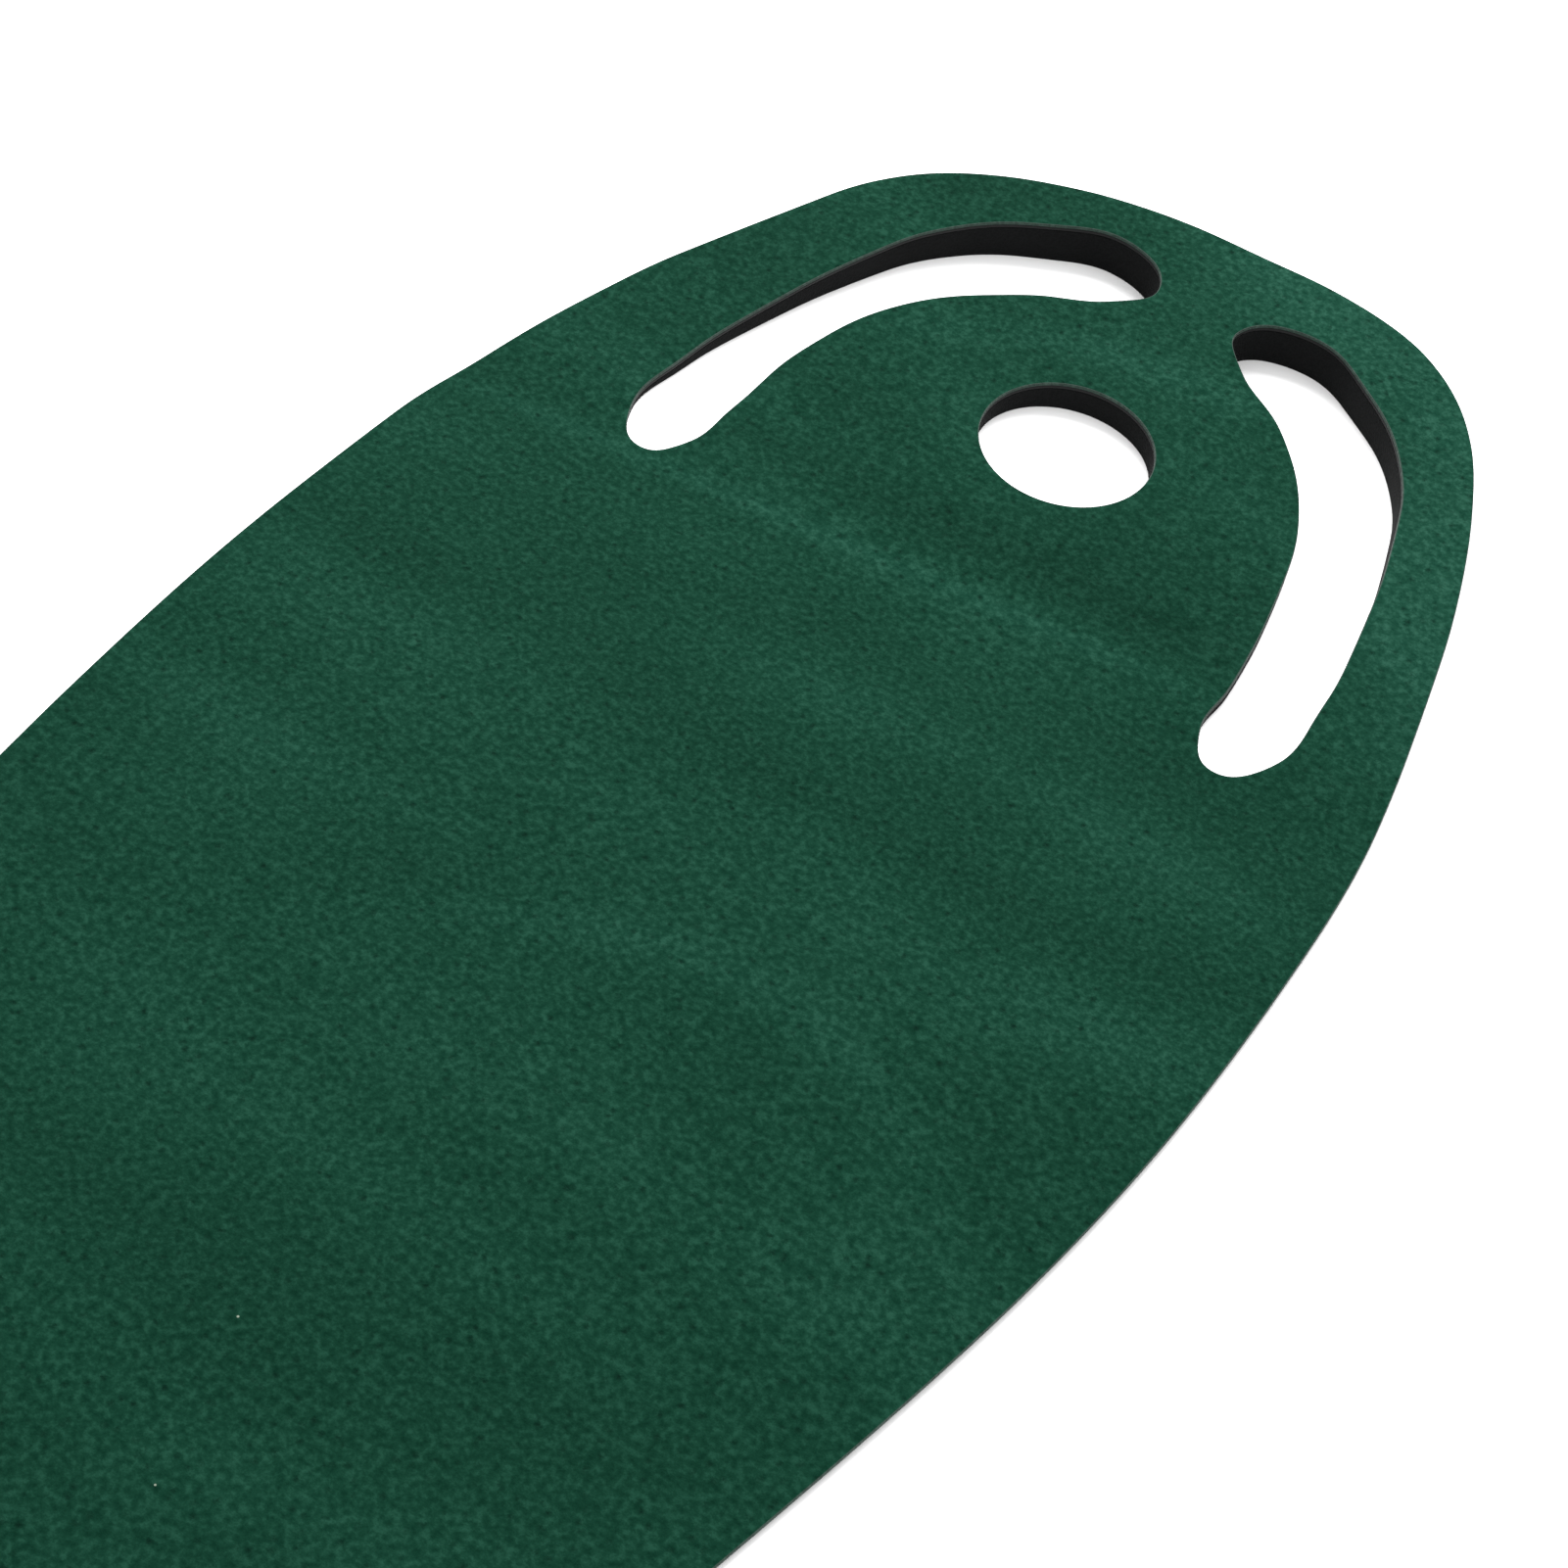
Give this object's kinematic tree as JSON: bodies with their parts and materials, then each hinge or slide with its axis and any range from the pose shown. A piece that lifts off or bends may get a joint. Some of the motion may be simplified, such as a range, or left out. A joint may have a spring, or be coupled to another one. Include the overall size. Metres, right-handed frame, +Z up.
{
  "type": "practice putting mat",
  "caption": "Long roll-up felt putting green with a waisted outline, a raised foam ramp at the cup end, a round cup hole and two curved ball-catching slots.",
  "frame": {"origin": "on the floor under the middle of the unrolled mat", "axes": "+Y from the player's end to the crest of the cup end, +X to the right of a player who faces the cup, +Z up"},
  "size_m": [0.6254, 2.743, 0.0323],
  "materials": {
    "turf_felt": "dense needle-punched felt pile, matt, mottled deep green",
    "rubber_backing": "matt black rubber with an embossed non-skid underside",
    "foam_black": "die-cut closed-cell black foam, matt"
  },
  "bodies": {
    "cup_end": {"turf_cup_end": "turf_felt", "backing_cup_end": "rubber_backing", "foam_ramp": "foam_black"},
    "strip_01": {"turf_strip_01": "turf_felt", "backing_strip_01": "rubber_backing"},
    "strip_02": {"turf_strip_02": "turf_felt", "backing_strip_02": "rubber_backing"},
    "strip_03": {"turf_strip_03": "turf_felt", "backing_strip_03": "rubber_backing"},
    "strip_04": {"turf_strip_04": "turf_felt", "backing_strip_04": "rubber_backing"},
    "strip_05": {"turf_strip_05": "turf_felt", "backing_strip_05": "rubber_backing"},
    "strip_06": {"turf_strip_06": "turf_felt", "backing_strip_06": "rubber_backing"},
    "strip_07": {"turf_strip_07": "turf_felt", "backing_strip_07": "rubber_backing"},
    "strip_08": {"turf_strip_08": "turf_felt", "backing_strip_08": "rubber_backing"},
    "strip_09": {"turf_strip_09": "turf_felt", "backing_strip_09": "rubber_backing"},
    "strip_10": {"turf_strip_10": "turf_felt", "backing_strip_10": "rubber_backing"},
    "strip_11": {"turf_strip_11": "turf_felt", "backing_strip_11": "rubber_backing"},
    "strip_12": {"turf_strip_12": "turf_felt", "backing_strip_12": "rubber_backing"},
    "strip_13": {"turf_strip_13": "turf_felt", "backing_strip_13": "rubber_backing"},
    "strip_14": {"turf_strip_14": "turf_felt", "backing_strip_14": "rubber_backing"},
    "strip_15": {"turf_strip_15": "turf_felt", "backing_strip_15": "rubber_backing"},
    "strip_16": {"turf_strip_16": "turf_felt", "backing_strip_16": "rubber_backing"},
    "strip_17": {"turf_strip_17": "turf_felt", "backing_strip_17": "rubber_backing"},
    "strip_18": {"turf_strip_18": "turf_felt", "backing_strip_18": "rubber_backing"},
    "strip_19": {"turf_strip_19": "turf_felt", "backing_strip_19": "rubber_backing"},
    "strip_20": {"turf_strip_20": "turf_felt", "backing_strip_20": "rubber_backing"},
    "strip_21": {"turf_strip_21": "turf_felt", "backing_strip_21": "rubber_backing"},
    "strip_22": {"turf_strip_22": "turf_felt", "backing_strip_22": "rubber_backing"},
    "strip_23": {"turf_strip_23": "turf_felt", "backing_strip_23": "rubber_backing"},
    "strip_24": {"turf_strip_24": "turf_felt", "backing_strip_24": "rubber_backing"}
  },
  "joints": [
    {"name": "fold_01", "type": "hinge", "parent": "cup_end", "child": "strip_01", "pos_m": [0, 0.8325, 0.004], "axis": [-1, 0, 0], "range_deg": [0, 39.5]},
    {"name": "fold_02", "type": "hinge", "parent": "strip_01", "child": "strip_02", "pos_m": [0, 0.74067, 0.004], "axis": [-1, 0, 0], "range_deg": [0, 40.18]},
    {"name": "fold_03", "type": "hinge", "parent": "strip_02", "child": "strip_03", "pos_m": [0, 0.64883, 0.004], "axis": [-1, 0, 0], "range_deg": [0, 40.88]},
    {"name": "fold_04", "type": "hinge", "parent": "strip_03", "child": "strip_04", "pos_m": [0, 0.557, 0.004], "axis": [-1, 0, 0], "range_deg": [0, 41.61]},
    {"name": "fold_05", "type": "hinge", "parent": "strip_04", "child": "strip_05", "pos_m": [0, 0.46517, 0.004], "axis": [-1, 0, 0], "range_deg": [0, 42.4]},
    {"name": "fold_06", "type": "hinge", "parent": "strip_05", "child": "strip_06", "pos_m": [0, 0.37333, 0.004], "axis": [-1, 0, 0], "range_deg": [0, 43.22]},
    {"name": "fold_07", "type": "hinge", "parent": "strip_06", "child": "strip_07", "pos_m": [0, 0.2815, 0.004], "axis": [-1, 0, 0], "range_deg": [0, 44.1]},
    {"name": "fold_08", "type": "hinge", "parent": "strip_07", "child": "strip_08", "pos_m": [0, 0.18967, 0.004], "axis": [-1, 0, 0], "range_deg": [0, 45.03]},
    {"name": "fold_09", "type": "hinge", "parent": "strip_08", "child": "strip_09", "pos_m": [0, 0.09783, 0.004], "axis": [-1, 0, 0], "range_deg": [0, 46.02]},
    {"name": "fold_10", "type": "hinge", "parent": "strip_09", "child": "strip_10", "pos_m": [0, 0.006, 0.004], "axis": [-1, 0, 0], "range_deg": [0, 47.08]},
    {"name": "fold_11", "type": "hinge", "parent": "strip_10", "child": "strip_11", "pos_m": [0, -0.08583, 0.004], "axis": [-1, 0, 0], "range_deg": [0, 48.22]},
    {"name": "fold_12", "type": "hinge", "parent": "strip_11", "child": "strip_12", "pos_m": [0, -0.17767, 0.004], "axis": [-1, 0, 0], "range_deg": [0, 49.45]},
    {"name": "fold_13", "type": "hinge", "parent": "strip_12", "child": "strip_13", "pos_m": [0, -0.2695, 0.004], "axis": [-1, 0, 0], "range_deg": [0, 50.77]},
    {"name": "fold_14", "type": "hinge", "parent": "strip_13", "child": "strip_14", "pos_m": [0, -0.36133, 0.004], "axis": [-1, 0, 0], "range_deg": [0, 52.21]},
    {"name": "fold_15", "type": "hinge", "parent": "strip_14", "child": "strip_15", "pos_m": [0, -0.45317, 0.004], "axis": [-1, 0, 0], "range_deg": [0, 53.78]},
    {"name": "fold_16", "type": "hinge", "parent": "strip_15", "child": "strip_16", "pos_m": [0, -0.545, 0.004], "axis": [-1, 0, 0], "range_deg": [0, 55.49]},
    {"name": "fold_17", "type": "hinge", "parent": "strip_16", "child": "strip_17", "pos_m": [0, -0.63683, 0.004], "axis": [-1, 0, 0], "range_deg": [0, 57.39]},
    {"name": "fold_18", "type": "hinge", "parent": "strip_17", "child": "strip_18", "pos_m": [0, -0.72867, 0.004], "axis": [-1, 0, 0], "range_deg": [0, 59.49]},
    {"name": "fold_19", "type": "hinge", "parent": "strip_18", "child": "strip_19", "pos_m": [0, -0.8205, 0.004], "axis": [-1, 0, 0], "range_deg": [0, 61.84]},
    {"name": "fold_20", "type": "hinge", "parent": "strip_19", "child": "strip_20", "pos_m": [0, -0.91233, 0.004], "axis": [-1, 0, 0], "range_deg": [0, 64.49]},
    {"name": "fold_21", "type": "hinge", "parent": "strip_20", "child": "strip_21", "pos_m": [0, -1.00417, 0.004], "axis": [-1, 0, 0], "range_deg": [0, 67.51]},
    {"name": "fold_22", "type": "hinge", "parent": "strip_21", "child": "strip_22", "pos_m": [0, -1.096, 0.004], "axis": [-1, 0, 0], "range_deg": [0, 71.01]},
    {"name": "fold_23", "type": "hinge", "parent": "strip_22", "child": "strip_23", "pos_m": [0, -1.18783, 0.004], "axis": [-1, 0, 0], "range_deg": [0, 75.11]},
    {"name": "fold_24", "type": "hinge", "parent": "strip_23", "child": "strip_24", "pos_m": [0, -1.27967, 0.004], "axis": [-1, 0, 0], "range_deg": [0, 80.01]}
  ],
  "couplings": [
    {"joint": "fold_02", "follows": "fold_01", "ratio": 1.0169},
    {"joint": "fold_03", "follows": "fold_01", "ratio": 1.0346},
    {"joint": "fold_04", "follows": "fold_01", "ratio": 1.0533},
    {"joint": "fold_05", "follows": "fold_01", "ratio": 1.0731},
    {"joint": "fold_06", "follows": "fold_01", "ratio": 1.0939},
    {"joint": "fold_07", "follows": "fold_01", "ratio": 1.1161},
    {"joint": "fold_08", "follows": "fold_01", "ratio": 1.1397},
    {"joint": "fold_09", "follows": "fold_01", "ratio": 1.1649},
    {"joint": "fold_10", "follows": "fold_01", "ratio": 1.1918},
    {"joint": "fold_11", "follows": "fold_01", "ratio": 1.2206},
    {"joint": "fold_12", "follows": "fold_01", "ratio": 1.2516},
    {"joint": "fold_13", "follows": "fold_01", "ratio": 1.2852},
    {"joint": "fold_14", "follows": "fold_01", "ratio": 1.3216},
    {"joint": "fold_15", "follows": "fold_01", "ratio": 1.3612},
    {"joint": "fold_16", "follows": "fold_01", "ratio": 1.4047},
    {"joint": "fold_17", "follows": "fold_01", "ratio": 1.4526},
    {"joint": "fold_18", "follows": "fold_01", "ratio": 1.5057},
    {"joint": "fold_19", "follows": "fold_01", "ratio": 1.5652},
    {"joint": "fold_20", "follows": "fold_01", "ratio": 1.6323},
    {"joint": "fold_21", "follows": "fold_01", "ratio": 1.7089},
    {"joint": "fold_22", "follows": "fold_01", "ratio": 1.7974},
    {"joint": "fold_23", "follows": "fold_01", "ratio": 1.9012},
    {"joint": "fold_24", "follows": "fold_01", "ratio": 2.0253}
  ]
}
